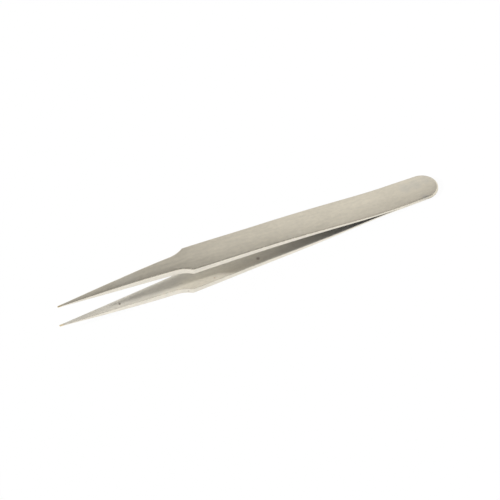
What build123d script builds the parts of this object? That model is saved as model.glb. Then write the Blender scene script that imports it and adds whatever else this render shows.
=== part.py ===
from build123d import *
import math
import os

# Fine-pointed steel tweezers, in millimetres.
# Two arms of one form are spot-welded face to face over the heel and bow apart
# towards the points. An arm is drawn with its point at the origin, its length
# along X, its width along Y and the plane where the arms meet at Z = 0.

# Plan form of an arm
length = 120.0
tip_width = 0.4
neck_width = 5.0
shoulder_from_tip = 38.5
shoulder_run = 4.7
shoulder_width = 8.3
shoulder_radius = 0.6
waist_from_shoulder = 15.5
waist_width = 8.2
palm_from_heel = 25.0
palm_width = 9.0
heel_round_length = 5.0

# Clear gap between the inner faces
tip_gap = 8.6
belly_gap = 7.4
grip_gap = 5.6
rear_gap = 2.74

# Thickness of an arm
tip_thickness = 0.25
shank_thickness = 1.7
belly_thickness = 2.3
rest_thickness = 2.2
rear_thickness = 1.12
heel_thickness = 0.85

# Places of those gaps and thicknesses, with the grip half-way from belly to rear
shank_from_tip = 16.0
belly_from_tip = 32.0
rear_from_heel = 36.0
weld_length = 14.0

# Straight stretch of the outer face, in line with the end of the heel
rest_from_tip = 40.0
rest_end_from_heel = 56.0

# Rounding along both edges of the outer face, held by the narrow tip
edge_radius = 0.18
edge_share_of_tip = 0.45

# Accuracy for telling places apart
same_place = 0.001
rest_samples = 400

shoulder_x = shoulder_from_tip
neck_x = shoulder_x - shoulder_run
waist_x = shoulder_x + waist_from_shoulder
palm_x = length - palm_from_heel
heel_round_x = length - heel_round_length
rear_x = length - rear_from_heel
weld_x = length - weld_length
grip_x = (belly_from_tip + rear_x) / 2
rest_end_x = length - rest_end_from_heel
outer_round = min(edge_radius, edge_share_of_tip * tip_width)


def long_edge():
    """One side of the plan form, from the corner of the tip to the middle of the heel."""
    taper = Line((0, tip_width / 2), (neck_x, neck_width / 2))
    shoulder = Vector(shoulder_x, shoulder_width / 2)
    waist = Vector(waist_x, waist_width / 2)
    palm = Vector(palm_x, palm_width / 2)
    flare = TangentArc(taper @ 1, shoulder, tangent=taper % 1)
    narrowing = Line(shoulder, waist)
    widening = Spline(waist, palm, tangents=[narrowing % 1, (1, 0)])
    straight = Line(palm, (heel_round_x, palm_width / 2))
    heel = EllipticalCenterArc(
        (heel_round_x, 0),
        x_radius=heel_round_length,
        y_radius=palm_width / 2,
        start_angle=0,
        arc_size=90,
    )
    return Curve() + [taper, flare, narrowing, widening, straight, heel]


def plan_form():
    """Outline of an arm seen from above, with its shoulders rounded."""
    edge = long_edge()
    tip_end = Line((0, -tip_width / 2), (0, tip_width / 2))
    outline = make_face(edge + mirror(edge, about=Plane.XZ) + tip_end)
    shoulders = outline.vertices().filter_by(lambda corner: abs(corner.X - shoulder_x) < same_place)
    return fillet(shoulders, shoulder_radius)


def inner_curve():
    """Inner face of the upper arm: straight from the tip to the belly, then bowed to the weld."""
    belly = Vector(belly_from_tip, belly_gap / 2)
    grip = Vector(grip_x, grip_gap / 2)
    rear = Vector(rear_x, rear_gap / 2)
    weld = Vector(weld_x, 0)
    front = Line((0, tip_gap / 2), belly)
    bow = Spline(belly, grip, rear, weld, tangents=[front % 1, (1, 0)])
    return front, bow


def outer_curve(front, bow):
    """Outer face of the upper arm, with the straight stretch that the tweezers lie on."""
    tip = front @ 0 + Vector(0, tip_thickness)
    shank = front @ (shank_from_tip / belly_from_tip) + Vector(0, shank_thickness)
    belly = front @ 1 + Vector(0, belly_thickness)
    below_rest = bow.find_intersection_points(Axis((rest_from_tip, 0), (0, 1)))[0]
    rest = below_rest + Vector(0, rest_thickness)
    rear = Vector(rear_x, rear_gap / 2 + rear_thickness)
    weld = Vector(weld_x, heel_thickness)
    heel = Vector(length - outer_round, heel_thickness)
    share = (rest_end_x - rest.X) / (heel.X - rest.X)
    flat = Line(rest, rest + (heel - rest) * share)
    jaw = Spline(tip, shank, belly, rest, tangents=[shank - tip, flat % 0])
    tail = Spline(flat @ 1, rear, weld, tangents=[flat % 1, (1, 0)])
    return jaw, flat, tail


def side_form():
    """Section of the upper arm along its length."""
    front, bow = inner_curve()
    jaw, flat, tail = outer_curve(front, bow)
    joint_face = Line(bow @ 1, (length, 0))
    heel_end = Line((length, 0), (length, heel_thickness))
    heel_back = Line(tail @ 1, (length, heel_thickness))
    tip_end = Line(front @ 0, jaw @ 0)
    outline = Curve() + [front, bow, joint_face, heel_end, heel_back, tail, flat, jaw, tip_end]
    return make_face(Plane.XZ * outline)


def outer_edges(arm):
    """The edges that run along the outer face, without those that cross it."""
    outer_faces = arm.faces().filter_by(lambda face: face.normal_at().Z > 0.5)
    edges = outer_faces.edges()
    return edges.filter_by(lambda edge: abs((edge @ 1).X - (edge @ 0).X) > same_place)


def arm_form():
    """Plan form and section crossed, with the outer edges rounded."""
    height = tip_gap + 2 * belly_thickness + 2 * shank_thickness
    half_breadth = palm_width + shoulder_width + waist_width
    plan = extrude(plan_form(), amount=height)
    section = extrude(side_form(), amount=half_breadth, both=True)
    arm = plan & section
    return fillet(outer_edges(arm), outer_round)


def rest_angle():
    """Tilt at which the tweezers lie on one arm, from the belly to the end of the heel."""
    heel_x = length - outer_round
    angles = []
    for curve in outer_curve(*inner_curve()):
        for sample in range(rest_samples):
            point = curve @ (sample / rest_samples)
            angles.append(math.atan2(point.Y - heel_thickness, heel_x - point.X))
    return math.degrees(max(angles))


def tweezers():
    """Both arms as they lie, with the origin below the middle of their box."""
    lying = Rot(0, rest_angle(), 0)
    upper = lying * arm_form()
    lower = lying * mirror(arm_form(), about=Plane.XY)
    box = upper.bounding_box().add(lower.bounding_box())
    seat = Pos(-box.center().X, -box.center().Y, -box.min.Z)
    return {"upper_arm": seat * upper, "lower_arm": seat * lower}


os.makedirs("parts", exist_ok=True)
for name, node in tweezers().items():
    export_step(node, f"parts/{name}.step")
    print(name, round(node.volume, 1), "mm3")
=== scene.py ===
import math

import bmesh
import bpy
import numpy as np
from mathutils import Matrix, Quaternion, Vector

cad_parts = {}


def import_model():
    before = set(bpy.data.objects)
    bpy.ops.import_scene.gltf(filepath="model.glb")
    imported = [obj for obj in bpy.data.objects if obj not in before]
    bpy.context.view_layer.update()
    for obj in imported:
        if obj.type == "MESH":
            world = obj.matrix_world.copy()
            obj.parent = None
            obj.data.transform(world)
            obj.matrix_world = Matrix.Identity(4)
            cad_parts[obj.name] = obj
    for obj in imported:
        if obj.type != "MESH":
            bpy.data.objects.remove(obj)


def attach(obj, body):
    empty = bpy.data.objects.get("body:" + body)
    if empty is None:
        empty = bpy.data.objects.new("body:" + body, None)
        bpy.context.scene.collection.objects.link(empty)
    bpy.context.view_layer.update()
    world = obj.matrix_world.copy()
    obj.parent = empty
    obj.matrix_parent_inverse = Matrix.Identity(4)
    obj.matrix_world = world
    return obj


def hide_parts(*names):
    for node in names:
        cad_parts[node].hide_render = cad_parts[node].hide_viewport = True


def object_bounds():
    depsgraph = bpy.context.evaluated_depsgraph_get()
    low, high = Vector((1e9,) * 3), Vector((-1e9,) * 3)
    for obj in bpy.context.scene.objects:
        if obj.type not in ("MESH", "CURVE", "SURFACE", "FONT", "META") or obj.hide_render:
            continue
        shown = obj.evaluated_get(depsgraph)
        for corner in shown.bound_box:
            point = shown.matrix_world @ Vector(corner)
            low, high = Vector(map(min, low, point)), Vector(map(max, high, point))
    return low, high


# Fine-pointed steel tweezers: two bowed arms joined at the heel.
# Lengths are in millimetres up to the point where a mesh is made, and there
# they become metres. An arm is drawn with its point at the origin, its length
# along X and the plane where the arms meet at Z = 0.

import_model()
cad_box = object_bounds()

MM = 0.001

# The arms, with the side of the middle plane that each one lies on
UPPER, LOWER = 1, -1
ARMS = {"upper_arm": UPPER, "lower_arm": LOWER}

# Plan form of an arm
LENGTH = 120.0
TIP_WIDTH = 0.4
NECK_WIDTH = 5.0
SHOULDER_X = 38.5
SHOULDER_RUN = 4.7
SHOULDER_WIDTH = 8.3
SHOULDER_RADIUS = 0.6
WAIST_X = 54.0
WAIST_WIDTH = 8.2
PALM_X = 95.0
PALM_WIDTH = 9.0
HEEL_ROUND = 5.0

# Gap between the inner faces and thickness of an arm, each at its place
TIP_GAP, TIP_THICKNESS = 8.6, 0.25
SHANK_X, SHANK_THICKNESS = 16.0, 1.7
BELLY_X, BELLY_GAP, BELLY_THICKNESS = 32.0, 7.4, 2.3
REST_X, REST_END_X, REST_THICKNESS = 40.0, 64.0, 2.2
GRIP_X, GRIP_GAP = 58.0, 5.6
REAR_X, REAR_GAP, REAR_THICKNESS = 84.0, 2.74, 1.12
WELD_X, HEEL_THICKNESS = 106.0, 0.85
CAD_ROUND = 0.18

# Rounding along the outer face by distance from the point, and along the inner face
OUTER_ROUNDS = {
    0.0: 0.06,
    6.0: 0.28,
    18.0: 0.62,
    34.0: 0.52,
    46.0: 0.32,
    106.0: 0.3,
    117.0: 0.7,
    120.0: 0.75,
}
INNER_ROUND = 0.05

# Drop of the outer face at its edges, as a share of half its width
CROWN = 0.05

# Rows of the mesh along each stretch of the plan form
NOSE_ROWS, TAPER_ROWS, FLARE_ROWS, CORNER_ROWS = 8, 110, 26, 12
NARROWING_ROWS, WIDENING_ROWS, STRAIGHT_ROWS, HEEL_ROWS = 40, 90, 50, 36

# Columns of the mesh from the middle of the outer face to the middle of the inner one
FACE_COLUMNS = 8
ROUND_STEPS = 6
INNER_STEPS = 3
INNER_START = FACE_COLUMNS + ROUND_STEPS + 1 + INNER_STEPS
INNER_COLUMNS = range(INNER_START, INNER_START + 2 * FACE_COLUMNS + 1)

# Points on a curve, the distances in metres at which points are one and an edge is none,
# and how strongly large faces steer the shading
CURVE_SAMPLES = 400
SAME_PLACE = 1e-7
NO_LENGTH = 1e-8
FLAT_WEIGHT = 80

# Grain of the ground finish: size in millimetres along X, Y and Z, and detail
GRAINS = {
    "clouds": ((16.0, 5.0, 5.0), 2.0),
    "streaks": ((10.0, 0.8, 0.8), 3.0),
    "scratches": ((6.0, 0.16, 0.16), 2.0),
    "mottle": ((1.3, 0.8, 0.8), 4.0),
}

# How far the grains shade the steel and roughen it, how much of the mottle joins the
# scratches in relief, and the strength of that relief with its depth in millimetres
GRAIN_SHADES = {"clouds": 0.2, "streaks": 0.2, "mottle": 0.26}
GRAIN_ROUGHNESS = {"streaks": 0.12, "mottle": 0.1}
MOTTLE_RELIEF = 0.6
RELIEF_STRENGTH, RELIEF_DEPTH = 0.35, 0.01

# Colour, share of bare metal and roughness of the outer faces, inner faces, sides and edges
FACE_COLOUR = (0.76, 0.70, 0.58, 1)
INNER_COLOUR = (0.75, 0.71, 0.62, 1)
# The sides' paler colour is painted sheen
SIDE_SHEEN_COLOUR = (0.81, 0.765, 0.67, 1)
OUTER_METAL, INNER_METAL = 0.96, 0.56
FACE_ROUGHNESS, SIDE_ROUGHNESS, EDGE_ROUGHNESS = 0.34, 0.42, 0.26

# The inner faces darken towards the heel with painted shade of the narrow gap between the arms, from
# one place in the frame to another
GAP_SHADE_STARTS, GAP_SHADE_FULL = -24.0, 44.0
GAP_SHADE_DEPTH, GAP_SHADE_COLOUR = 0.7, (0.3, 0.3, 0.31, 1)

# How upright the normal is where an edge and a side begin, and where they are complete
EDGE_FROM, EDGE_WHOLE = 0.99, 0.9
SIDE_FROM, SIDE_WHOLE = 0.35, 0.1

# Pits, stains, grey patches, a painted highlight and painted glints: arm, distance from its
# point, distance from its middle line, depth from its inner face (0) to its outer one (1),
# radius in millimetres, strength and colour. The core is the share of the radius that has
# the whole strength.
PALE, DARK = (0.88, 0.84, 0.74, 1), (0.2, 0.15, 0.12, 1)
GREY, RUST, STRAW_GLINT = (0.55, 0.54, 0.5, 1), (0.5, 0.33, 0.16, 1), (0.86, 0.68, 0.38, 1)
SPOTS = [
    # Painted orange glints, straw coloured, on both points
    (UPPER, 0.0, 0.0, 0.4, 1.8, 0.7, STRAW_GLINT),
    (LOWER, 0.0, 0.0, 0.5, 1.8, 0.7, STRAW_GLINT),
    (LOWER, 17.8, -0.1, 0.0, 0.45, 0.75, DARK),
    (LOWER, 59.6, -2.3, 0.0, 0.7, 0.6, DARK),
    (LOWER, 37.3, -3.44, 0.46, 0.3, 0.6, DARK),
    (LOWER, 45.5, -3.1, 0.0, 0.3, 0.6, RUST),
    (UPPER, 28.5, -0.3, 1.0, 0.5, 0.3, PALE),
    (UPPER, 72.3, -2.9, 1.0, 0.9, 0.22, PALE),
    (UPPER, 68.9, -3.2, 1.0, 0.8, 0.2, PALE),
    # Painted highlight: a broad pale patch on the outer face of the upper jaw
    (UPPER, 20.0, 0.1, 1.0, 4.5, 0.3, PALE),
    # Grey patches on the heel's outer face, three across its middle and one at its near edge
    (UPPER, 109.8, 1.3, 1.0, 2.6, 0.3, GREY),
    (UPPER, 113.3, 1.4, 1.0, 2.6, 0.3, GREY),
    (UPPER, 116.9, 1.6, 1.0, 2.2, 0.25, GREY),
    (UPPER, 113.7, -4.3, 1.0, 1.6, 0.45, GREY),
]
SPOT_CORE = 0.35

# The view: width of the image in pixels, angles in degrees, the place looked at, pixels per
# millimetre there, the focal length and the middle of the lens in pixels, the width of the
# sensor in millimetres, and the nearest and furthest distance seen, in metres
IMAGE = 500
VIEW_AZIMUTH, VIEW_ELEVATION, VIEW_ROLL = -25.872, 53.045, -0.419
VIEW_TARGET = (0.118, 0.0, 4.475)
VIEW_SCALE = 3.508
FOCAL = 1397.8
CENTRE_RIGHT, CENTRE_DOWN = 6.2, -3.625
SENSOR_WIDTH = 36.0
CLIP_NEAR, CLIP_FAR = 0.01, 20.0

# Level of the room's light overhead and in four directions, each with the two values of X,
# Y or Z at which it sets in and is full. The one in front multiplies what is there.
ROOM_COLOUR = (1.0, 1.0, 1.0, 1)
ROOM_OVERHEAD = 0.29
ROOM_PAST_HEEL, PAST_HEEL = 1.0, (0.6, 0.78)
ROOM_BEHIND, BEHIND = 0.53, (0.3, 0.8)
ROOM_IN_FRONT, IN_FRONT = 1.15, (-0.35, -0.8)
ROOM_LOW, LOW = 1.0, (0.1, 0.06)

# Soft lamps: place, aim and size in millimetres, and power in watts
LAMPS = {
    "over_heel": ((136, 127, 142), (55, 0, 4), 120, 0.0205),
    "before_heel": ((139, -128, 85), (50, -4, 2), 90, 0.02),
}

# Far lamp on the side of the points: direction, strength and spread in degrees
SUN_FROM, SUN_STRENGTH, SUN_SPREAD = (-0.838, -0.021, 0.545), 4.2, 4.0

# Floor: half its width in metres, its height in millimetres, the colour that takes the
# shadow, and the share of it that is plain white
FLOOR_REACH = 4.0
FLOOR_HEIGHT = -0.02
FLOOR_COLOUR = (0.9, 0.9, 0.9, 1)
FLOOR_WHITE = 0.97


def smooth_curve(points, start, end, count=CURVE_SAMPLES):
    """Cubic curve through points with the given end directions, sampled evenly in chord length."""
    points = np.array(points, float)
    steps = np.hypot(*np.diff(points, axis=0).T)
    knots = np.concatenate([[0.0], np.cumsum(steps)])
    n = len(points)
    system = np.zeros((n, n))
    wanted = np.zeros((n, 2))
    system[0, 0] = system[-1, -1] = 1.0
    wanted[0] = np.array(start, float) / np.hypot(*start)
    wanted[-1] = np.array(end, float) / np.hypot(*end)
    for i in range(1, n - 1):
        before, after = steps[i - 1], steps[i]
        system[i, i - 1 : i + 2] = after, 2 * (before + after), before
        rise_before = (points[i] - points[i - 1]) / before
        rise_after = (points[i + 1] - points[i]) / after
        wanted[i] = 3 * (after * rise_before + before * rise_after)
    slopes = np.linalg.solve(system, wanted)
    at = np.linspace(0.0, knots[-1], count)
    span = np.clip(np.searchsorted(knots, at, side="right") - 1, 0, n - 2)
    width = steps[span][:, None]
    t = ((at - knots[span]) / steps[span])[:, None]
    return (
        (2 * t**3 - 3 * t**2 + 1) * points[span]
        + (t**3 - 2 * t**2 + t) * width * slopes[span]
        + (3 * t**2 - 2 * t**3) * points[span + 1]
        + (t**3 - t**2) * width * slopes[span + 1]
    )


def height(profile, x):
    """Height of a profile above the middle plane at a distance from the point."""
    return np.interp(x, profile[:, 0], profile[:, 1])


def inner_profile():
    """Height of the inner face above the middle plane, along the arm."""
    tip = (0.0, TIP_GAP / 2)
    belly = (BELLY_X, BELLY_GAP / 2)
    grip = (GRIP_X, GRIP_GAP / 2)
    rear = (REAR_X, REAR_GAP / 2)
    bow = smooth_curve([belly, grip, rear, (WELD_X, 0.0)], np.subtract(belly, tip), (1, 0))
    return np.vstack([[tip], bow, [(LENGTH, 0.0)]])


def above(profile, x, thickness):
    """Point at a thickness above a profile."""
    return np.array([x, height(profile, x) + thickness])


def outer_profile(inner):
    """Height of the outer face along the arm, with the slope and the start of its straight stretch."""
    tip = above(inner, 0.0, TIP_THICKNESS)
    shank = above(inner, SHANK_X, SHANK_THICKNESS)
    belly = above(inner, BELLY_X, BELLY_THICKNESS)
    rest = above(inner, REST_X, REST_THICKNESS)
    rear = above(inner, REAR_X, REAR_THICKNESS)
    weld = np.array([WELD_X, HEEL_THICKNESS])
    heel = np.array([LENGTH - CAD_ROUND, HEEL_THICKNESS])
    flat = (heel - rest) / (heel[0] - rest[0])
    flat_end = rest + flat * (REST_END_X - REST_X)
    jaw = smooth_curve([tip, shank, belly, rest], shank - tip, flat)
    tail = smooth_curve([flat_end, rear, weld], flat, (1, 0))
    return np.vstack([jaw, tail, [(LENGTH, HEEL_THICKNESS)]]), flat[1], rest


INNER = inner_profile()
OUTER, FLAT_SLOPE, REST_POINT = outer_profile(INNER)
TILT = math.atan(-FLAT_SLOPE)


def placed(points):
    """Points of an arm as it lies in the frame, on its straight stretch and the end of its heel."""
    along, across, up = np.array(points, float).T
    c, s = math.cos(TILT), math.sin(TILT)
    shift_x = cad_box[0].x / MM + (TIP_GAP / 2 + TIP_THICKNESS) * s
    shift_z = REST_POINT[0] * s + REST_POINT[1] * c
    return np.stack([along * c + up * s + shift_x, across, up * c - along * s + shift_z], 1)


def arc(centre, radius, start, end, count):
    """Points on a circle between two angles, in radians."""
    angles = np.linspace(start, end, count)
    return np.stack([centre[0] + radius * np.cos(angles), centre[1] + radius * np.sin(angles)], 1)


def line(start, end, count):
    """Evenly spaced points on a line, without its last one."""
    return np.linspace(start, end, count, endpoint=False)


def shoulder_stretch():
    """The flare up to the shoulder and the rounded corner, ending on the side of the handle."""
    neck = np.array([SHOULDER_X - SHOULDER_RUN, NECK_WIDTH / 2])
    shoulder = np.array([SHOULDER_X, SHOULDER_WIDTH / 2])
    waist = np.array([WAIST_X, WAIST_WIDTH / 2])
    taper = neck - np.array([0.0, TIP_WIDTH / 2])
    taper = taper / np.hypot(*taper)
    left = np.array([-taper[1], taper[0]])
    chord = shoulder - neck
    radius = chord @ chord / (2 * (chord @ left))
    centre = neck + radius * left
    side = (waist - shoulder) / np.hypot(*(waist - shoulder))
    inward = np.array([side[1], -side[0]])
    # The corner's centre lies one radius inside the side and one outside the flare's circle
    base = shoulder + SHOULDER_RADIUS * inward - centre
    reach = radius + SHOULDER_RADIUS
    along = -(base @ side) + math.sqrt((base @ side) ** 2 - base @ base + reach**2)
    corner = centre + base + along * side
    meet = centre + (corner - centre) * radius / reach
    start = math.atan2(*(neck - centre)[::-1])
    end = math.atan2(*(meet - centre)[::-1])
    flare = arc(centre, radius, start, end, FLARE_ROWS)
    first = math.atan2(*(meet - corner)[::-1])
    last = math.atan2(*(-inward)[::-1])
    if first < last:
        first += 2 * math.pi
    return flare, arc(corner, SHOULDER_RADIUS, first, last, CORNER_ROWS)


def outline():
    """One side of the plan form, from the middle of the point to the middle of the heel."""
    nose_radius = TIP_WIDTH / 2
    nose = arc((nose_radius, 0), nose_radius, math.pi, math.pi / 2, NOSE_ROWS)[:-1]
    flare, corner = shoulder_stretch()
    taper = line((nose_radius, nose_radius), flare[0], TAPER_ROWS)
    waist = (WAIST_X, WAIST_WIDTH / 2)
    palm = (PALM_X, PALM_WIDTH / 2)
    narrowing = line(corner[-1], waist, NARROWING_ROWS)[1:]
    widening = smooth_curve([waist, palm], np.subtract(waist, corner[-1]), (1, 0), WIDENING_ROWS)
    heel_x = LENGTH - HEEL_ROUND
    straight = line(palm, (heel_x, PALM_WIDTH / 2), STRAIGHT_ROWS)[1:]
    heel = arc((0, 0), 1.0, math.pi / 2, 0.0, HEEL_ROWS) * (HEEL_ROUND, PALM_WIDTH / 2) + (heel_x, 0)
    return np.vstack([nose, taper, flare, corner[1:], narrowing, widening, straight, heel])


def outward(points):
    """Unit normals of an open outline that starts and ends on its mirror line."""
    along = np.gradient(points, axis=0)
    along[0], along[-1] = (0, 1), (0, -1)
    along /= np.hypot(*along.T)[:, None]
    return np.stack([-along[:, 1], along[:, 0]], 1)


def half_section(point, normal):
    """Points from the middle of the outer face round one edge to the middle of the inner face."""
    radius = float(np.interp(point[0], list(OUTER_ROUNDS), list(OUTER_ROUNDS.values())))
    inset = point - normal * radius
    crown = CROWN * inset[1]
    points = []
    for step in range(FACE_COLUMNS):
        share = step / FACE_COLUMNS
        points.append((inset[0], inset[1] * share, height(OUTER, inset[0]) - crown * share**2))
    for step in range(ROUND_STEPS + 1):
        turn = math.pi / 2 * step / ROUND_STEPS
        place = inset + normal * radius * math.sin(turn)
        drop = crown + radius * (1 - math.cos(turn))
        points.append((place[0], place[1], height(OUTER, place[0]) - drop))
    inset = point - normal * INNER_ROUND
    for step in range(INNER_STEPS + 1):
        turn = math.pi / 2 * step / INNER_STEPS
        place = inset + normal * INNER_ROUND * math.cos(turn)
        lift = INNER_ROUND * (1 - math.sin(turn))
        points.append((place[0], place[1], height(INNER, place[0]) + lift))
    for step in range(FACE_COLUMNS - 1, -1, -1):
        y = inset[1] * step / FACE_COLUMNS
        points.append((inset[0], y, height(INNER, inset[0])))
    return points


def arm_sections():
    """Rings of points round the upper arm, one for each row from its point to its heel."""
    edge = outline()
    sections = []
    for point, normal in zip(edge, outward(edge)):
        half = np.array(half_section(point, normal))
        other_half = half[-2:0:-1] * (1, -1, 1)
        sections.append(np.vstack([half, other_half]))
    return np.array(sections)


def arm_mesh(name, side):
    """Closed mesh of one arm in the frame's own place, with its inner face marked."""
    sections = arm_sections()
    rows, ring = sections.shape[:2]
    faces = []
    for row in range(rows - 1):
        for column in range(ring):
            beside = (column + 1) % ring
            a, b = row * ring + column, row * ring + beside
            quad = (a, b, b + ring, a + ring)
            faces.append(quad if side == LOWER else quad[::-1])
    points = placed(sections.reshape(-1, 3) * (1, 1, side)) * MM
    mesh = bpy.data.meshes.new(name)
    mesh.from_pydata(points.tolist(), [], faces)
    inner = [float(column in INNER_COLUMNS) for column in range(ring)] * rows
    mesh.attributes.new("inner", "FLOAT", "POINT").data.foreach_set("value", inner)
    mesh.validate()
    arm = bpy.data.objects.new(name, mesh)
    bpy.context.scene.collection.objects.link(arm)
    return arm


def tidy_mesh(arm):
    """Merges the rows that shrink to a point and shades the arm smooth, with its flats kept flat."""
    work = bmesh.new()
    work.from_mesh(arm.data)
    bmesh.ops.remove_doubles(work, verts=work.verts, dist=SAME_PLACE)
    bmesh.ops.dissolve_degenerate(work, edges=work.edges, dist=NO_LENGTH)
    bmesh.ops.recalc_face_normals(work, faces=work.faces)
    for face in work.faces:
        face.smooth = True
    work.to_mesh(arm.data)
    work.free()
    flats = arm.modifiers.new("flats", "WEIGHTED_NORMAL")
    flats.keep_sharp = False
    flats.weight = FLAT_WEIGHT


def new_node(tree, kind, inputs=None, **settings):
    """Adds a node with its settings, and fills its inputs with values or with links."""
    made = tree.nodes.new("ShaderNode" + kind)
    for name, value in settings.items():
        setattr(made, name, value)
    for place, value in (inputs or {}).items():
        if isinstance(value, bpy.types.NodeSocket):
            tree.links.new(value, made.inputs[place])
        else:
            made.inputs[place].default_value = value
    return made


def maths(tree, operation, *values):
    """Output of a maths node on sockets or numbers."""
    return new_node(tree, "Math", dict(enumerate(values)), operation=operation).outputs[0]


def ramp(tree, value, start, end, first, last):
    """Eases from first to last while value goes from start to end."""
    inputs = {"Value": value, "From Min": start, "From Max": end, "To Min": first, "To Max": last}
    return new_node(tree, "MapRange", inputs, interpolation_type="SMOOTHSTEP").outputs["Result"]


def noise(tree, place, sizes, detail):
    """Noise around zero whose grains measure about sizes millimetres along X, Y and Z."""
    scale = tuple(1 / (size * MM) for size in sizes)
    stretched = new_node(tree, "Mapping", {"Vector": place, "Scale": scale}).outputs["Vector"]
    inputs = {"Vector": stretched, "Scale": 1.0, "Detail": detail}
    return maths(tree, "SUBTRACT", new_node(tree, "TexNoise", inputs).outputs["Fac"], 0.5)


def mixed(tree, share, first, second):
    """Colour between two colours, by a share that is a socket."""
    node = new_node(tree, "Mix", {0: share}, data_type="RGBA")
    for socket, colour in ((node.inputs[6], first), (node.inputs[7], second)):
        if isinstance(colour, bpy.types.NodeSocket):
            tree.links.new(colour, socket)
        else:
            socket.default_value = colour
    return node.outputs[2]


def part_of(tree, vector, axis):
    """One coordinate of a vector."""
    return new_node(tree, "SeparateXYZ", {0: vector}).outputs[axis]


def near(tree, place, centre, radius):
    """One at a centre in millimetres and round it, fading to nothing at the radius."""
    inputs = {0: place, 1: tuple(value * MM for value in centre)}
    away = new_node(tree, "VectorMath", inputs, operation="DISTANCE").outputs["Value"]
    return ramp(tree, away, radius * SPOT_CORE * MM, radius * MM, 1.0, 0.0)


def spot_centre(side, along, across, depth):
    """Place of a spot in the frame, at a depth from the inner face (0) to the outer one (1)."""
    inner = height(INNER, along)
    up = inner + depth * (height(OUTER, along) - inner)
    return placed([(along, across, side * up)])[0]


def steel_colour(tree, place, grain, inner, side):
    """Shaded by the grain, paler on the sides with painted sheen, darker inside towards the heel with
    painted shade, and with pits, stains, grey patches, a painted highlight and painted glints.
    """
    value = 1.0
    for name, shade in GRAIN_SHADES.items():
        value = maths(tree, "MULTIPLY_ADD", grain[name], shade, value)
    colour = mixed(tree, side, mixed(tree, inner, FACE_COLOUR, INNER_COLOUR), SIDE_SHEEN_COLOUR)
    colour = new_node(tree, "HueSaturation", {"Color": colour, "Value": value}).outputs["Color"]
    along = part_of(tree, place, "X")
    # Painted shade of the narrow gap: the inner faces darken towards the heel
    gap_shade = ramp(tree, along, GAP_SHADE_STARTS * MM, GAP_SHADE_FULL * MM, 0.0, GAP_SHADE_DEPTH)
    colour = mixed(tree, maths(tree, "MULTIPLY", gap_shade, inner), colour, GAP_SHADE_COLOUR)
    for arm, along, across, depth, radius, strength, stain in SPOTS:
        spot = near(tree, place, spot_centre(arm, along, across, depth), radius)
        colour = mixed(tree, maths(tree, "MULTIPLY", spot, strength), colour, stain)
    return colour


def steel_roughness(tree, grain, upright, side):
    """Ground sides are rougher than the faces, and the edges between them are worn smooth."""
    edge = ramp(tree, upright, EDGE_FROM, EDGE_WHOLE, 0.0, 1.0)
    edge = maths(tree, "MULTIPLY", edge, maths(tree, "SUBTRACT", 1.0, side))
    rough = maths(tree, "MULTIPLY_ADD", side, SIDE_ROUGHNESS - FACE_ROUGHNESS, FACE_ROUGHNESS)
    rough = maths(tree, "MULTIPLY_ADD", edge, EDGE_ROUGHNESS - FACE_ROUGHNESS, rough)
    for name, share in GRAIN_ROUGHNESS.items():
        rough = maths(tree, "MULTIPLY_ADD", grain[name], share, rough)
    return rough


def steel():
    """Satin stainless steel, ground along its length."""
    material = bpy.data.materials.new("satin_steel")
    material.use_nodes = True
    tree = material.node_tree
    shader = tree.nodes["Principled BSDF"]
    place = new_node(tree, "TexCoord").outputs["Object"]
    normal = new_node(tree, "NewGeometry").outputs["Normal"]
    grain = {name: noise(tree, place, sizes, detail) for name, (sizes, detail) in GRAINS.items()}
    inner = new_node(tree, "Attribute", attribute_name="inner").outputs["Fac"]
    upright = maths(tree, "ABSOLUTE", part_of(tree, normal, "Z"))
    side = ramp(tree, upright, SIDE_FROM, SIDE_WHOLE, 0.0, 1.0)

    relief = maths(tree, "MULTIPLY_ADD", grain["mottle"], MOTTLE_RELIEF, grain["scratches"])
    inputs = {"Height": relief, "Strength": RELIEF_STRENGTH, "Distance": RELIEF_DEPTH * MM}
    finish = {
        "Base Color": steel_colour(tree, place, grain, inner, side),
        "Metallic": maths(tree, "MULTIPLY_ADD", inner, INNER_METAL - OUTER_METAL, OUTER_METAL),
        "Roughness": steel_roughness(tree, grain, upright, side),
        "Normal": new_node(tree, "Bump", inputs).outputs["Normal"],
    }
    for name, socket in finish.items():
        tree.links.new(socket, shader.inputs[name])
    return material


def camera():
    """View from the near side of the points and well above."""
    azimuth = math.radians(VIEW_AZIMUTH)
    elevation = math.radians(VIEW_ELEVATION)
    level = math.cos(elevation)
    back = Vector((math.sin(azimuth) * level, -math.cos(azimuth) * level, math.sin(elevation)))
    data = bpy.data.cameras.new("camera")
    data.sensor_width = SENSOR_WIDTH
    data.lens = FOCAL / IMAGE * SENSOR_WIDTH
    data.shift_x = -CENTRE_RIGHT / IMAGE
    data.shift_y = CENTRE_DOWN / IMAGE
    data.clip_start, data.clip_end = CLIP_NEAR, CLIP_FAR
    view = bpy.data.objects.new("camera", data)
    view.location = (Vector(VIEW_TARGET) + back * (FOCAL / VIEW_SCALE)) * MM
    roll = Quaternion((0, 0, 1), math.radians(VIEW_ROLL))
    turn = (-back).to_track_quat("-Z", "Y") @ roll
    view.rotation_euler = turn.to_euler()
    bpy.context.scene.collection.objects.link(view)
    bpy.context.scene.camera = view


def seen_or_mirrored(tree):
    """One for rays from the camera, from gloss and through glass."""
    path = new_node(tree, "LightPath")
    seen = maths(tree, "ADD", path.outputs["Is Camera Ray"], path.outputs["Is Glossy Ray"])
    return maths(tree, "MINIMUM", maths(tree, "ADD", seen, path.outputs["Is Transmission Ray"]), 1.0)


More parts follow.
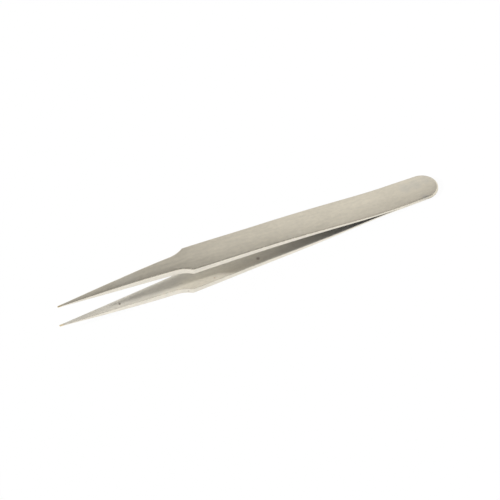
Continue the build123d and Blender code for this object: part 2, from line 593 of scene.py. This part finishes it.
def stage():
    """White floor that keeps a faint shadow."""
    corners = [(x * FLOOR_REACH, y * FLOOR_REACH, 0) for x, y in ((-1, -1), (1, -1), (1, 1), (-1, 1))]
    mesh = bpy.data.meshes.new("floor")
    mesh.from_pydata(corners, [], [(0, 1, 2, 3)])
    floor = bpy.data.objects.new("floor", mesh)
    floor.location.z = FLOOR_HEIGHT * MM
    bpy.context.scene.collection.objects.link(floor)
    material = bpy.data.materials.new("floor")
    material.use_nodes = True
    tree = material.node_tree
    tree.nodes.clear()
    share = maths(tree, "MULTIPLY", seen_or_mirrored(tree), FLOOR_WHITE)
    matt = new_node(tree, "BsdfDiffuse", {"Color": FLOOR_COLOUR}).outputs[0]
    white = new_node(tree, "Emission").outputs[0]
    surface = new_node(tree, "MixShader", {0: share, 1: matt, 2: white}).outputs[0]
    new_node(tree, "OutputMaterial", {"Surface": surface})
    mesh.materials.append(material)


def world():
    """Grey room, palest past the heel and near the floor, darkest overhead."""
    scene = bpy.context.scene
    scene.world = bpy.data.worlds.new("world")
    scene.world.use_nodes = True
    tree = scene.world.node_tree
    tree.nodes.clear()
    towards = new_node(tree, "TexCoord").outputs["Generated"]
    x, y, z = (part_of(tree, towards, axis) for axis in "XYZ")
    past_heel = ramp(tree, x, *PAST_HEEL, 0.0, ROOM_PAST_HEEL)
    behind = ramp(tree, y, *BEHIND, ROOM_OVERHEAD, ROOM_BEHIND)
    in_front = ramp(tree, y, *IN_FRONT, 1.0, ROOM_IN_FRONT)
    level = maths(tree, "MULTIPLY", maths(tree, "MAXIMUM", past_heel, behind), in_front)
    level = maths(tree, "MAXIMUM", level, ramp(tree, z, *LOW, 0.0, ROOM_LOW))
    room = new_node(tree, "Background", {"Color": ROOM_COLOUR, "Strength": level}).outputs[0]
    new_node(tree, "OutputWorld", {"Surface": room})


def lamp(name, place, aim, size, watts):
    """Soft square lamp at a place, aimed at a point."""
    data = bpy.data.lights.new(name, "AREA")
    data.size = size * MM
    data.energy = watts
    light = bpy.data.objects.new(name, data)
    light.location = Vector(place) * MM
    direction = (Vector(aim) - Vector(place)).normalized()
    light.rotation_euler = direction.to_track_quat("-Z", "Y").to_euler()
    bpy.context.scene.collection.objects.link(light)


def sun():
    """Far lamp that shines between the points and on to the lower inner face."""
    data = bpy.data.lights.new("from_points", "SUN")
    data.energy = SUN_STRENGTH
    data.angle = math.radians(SUN_SPREAD)
    light = bpy.data.objects.new("from_points", data)
    light.rotation_euler = Vector(SUN_FROM).to_track_quat("Z", "Y").to_euler()
    bpy.context.scene.collection.objects.link(light)


steel_material = steel()
for node, side in ARMS.items():
    arm = arm_mesh(node + "_finish", side)
    tidy_mesh(arm)
    arm.data.materials.append(steel_material)
    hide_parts(node)
    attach(arm, "root")

camera()
stage()
world()
for name, settings in LAMPS.items():
    lamp(name, *settings)
sun()

bpy.context.scene.view_settings.view_transform = "Standard"
